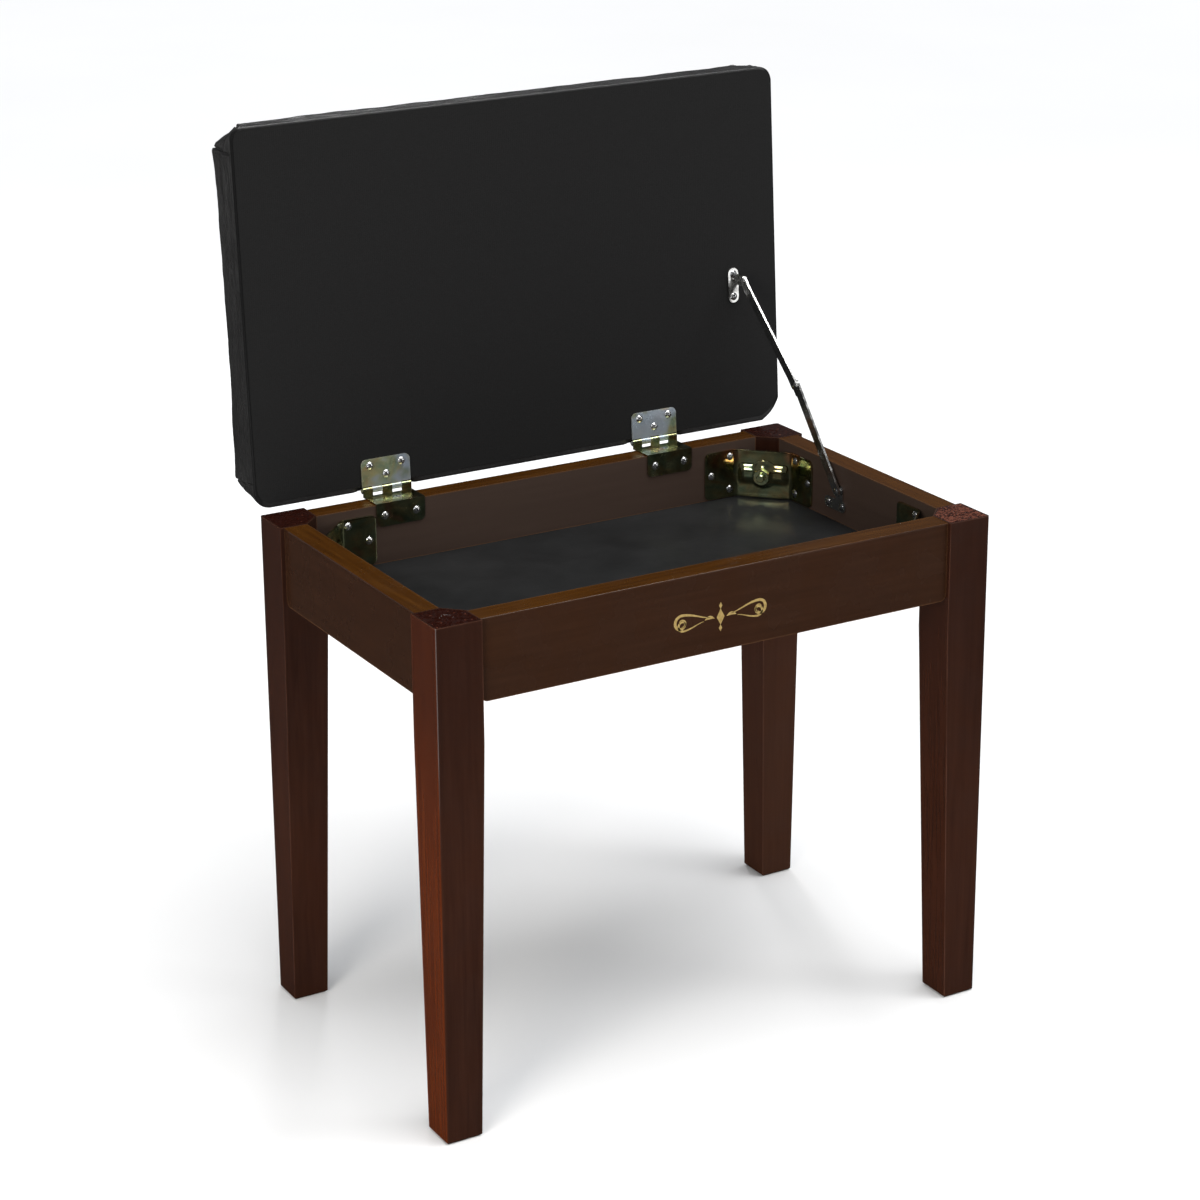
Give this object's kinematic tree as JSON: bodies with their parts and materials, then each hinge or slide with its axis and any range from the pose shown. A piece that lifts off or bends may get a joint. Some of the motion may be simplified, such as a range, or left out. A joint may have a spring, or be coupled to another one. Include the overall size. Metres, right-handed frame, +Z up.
{
  "type": "piano bench",
  "caption": "Piano bench with a storage box under a padded, hinged seat lid, a folding lid stay, tapered square legs, and a rail frame joined by bolted steel corner brackets.",
  "frame": {"origin": "centre of the open bench's bounding box, on the floor", "axes": "+X to the right of a person facing the front rail, +Y towards the hinges, +Z up"},
  "size_m": [0.548, 0.4032, 0.7972],
  "materials": {
    "leg_lacquer": "gloss lacquer over dark mahogany stain",
    "rail_lacquer": "satin lacquer over dark brown stain",
    "panel_black": "black painted hardboard",
    "yellow_zinc": "yellow chromate on zinc",
    "bright_zinc": "bright zinc",
    "nickel": "bright nickel",
    "plywood": "raw",
    "foam": "open-cell foam",
    "vinyl": "black grained vinyl",
    "dust_cloth": "black non-woven cloth"
  },
  "bodies": {
    "frame": {"leg_fl": "leg_lacquer", "leg_fr": "leg_lacquer", "leg_bl": "leg_lacquer", "leg_br": "leg_lacquer", "rail_front": "rail_lacquer", "rail_back": "rail_lacquer", "rail_left": "rail_lacquer", "rail_right": "rail_lacquer", "bottom_panel": "panel_black", "bracket_fl": "yellow_zinc", "bracket_fr": "yellow_zinc", "bracket_bl": "yellow_zinc", "bracket_br": "yellow_zinc", "hanger_bolts": "yellow_zinc", "bolt_nuts": "yellow_zinc", "bracket_screws": "bright_zinc", "hinge_frame_leaf_l": "yellow_zinc", "hinge_frame_leaf_r": "yellow_zinc", "hinge_pins": "yellow_zinc", "hinge_top_screws": "bright_zinc", "hinge_rail_screws": "bright_zinc", "stay_frame_plate": "nickel", "stay_frame_rivet": "nickel", "stay_frame_screws": "bright_zinc"},
    "lid": {"hinge_lid_leaf_l": "yellow_zinc", "hinge_lid_leaf_r": "yellow_zinc", "hinge_lid_screws": "bright_zinc", "stay_lid_rivet": "nickel", "stay_lid_plate": "nickel", "stay_lid_screws": "bright_zinc", "seat_board": "plywood", "seat_foam": "foam", "seat_cover": "vinyl", "seat_dust_cloth": "dust_cloth"},
    "stay_lower": {"stay_lower_arm": "nickel", "stay_elbow_rivet": "nickel"},
    "stay_upper": {"stay_upper_arm": "nickel", "stay_elbow_cap": "nickel"}
  },
  "joints": [
    {"name": "lid_hinge", "type": "hinge", "parent": "frame", "child": "lid", "pos_m": [0, 0.13188, 0.4613], "axis": [1, 0, 0], "range_deg": [0, 94.35]},
    {"name": "stay_frame_pivot", "type": "hinge", "parent": "frame", "child": "stay_lower", "pos_m": [0.2405, -0.01362, 0.4315], "axis": [1, 0, 0], "range_deg": [0, 125.1]},
    {"name": "stay_lid_pivot", "type": "hinge", "parent": "lid", "child": "stay_upper", "pos_m": [0.2317, 0.13219, 0.60156], "axis": [1, 0, 0], "range_deg": [-136.3, 0]}
  ],
  "couplings": [
    {"joint": "stay_frame_pivot", "follows": "lid_hinge", "ratio": 1.32},
    {"joint": "stay_lid_pivot", "follows": "lid_hinge", "ratio": -1.4383}
  ]
}
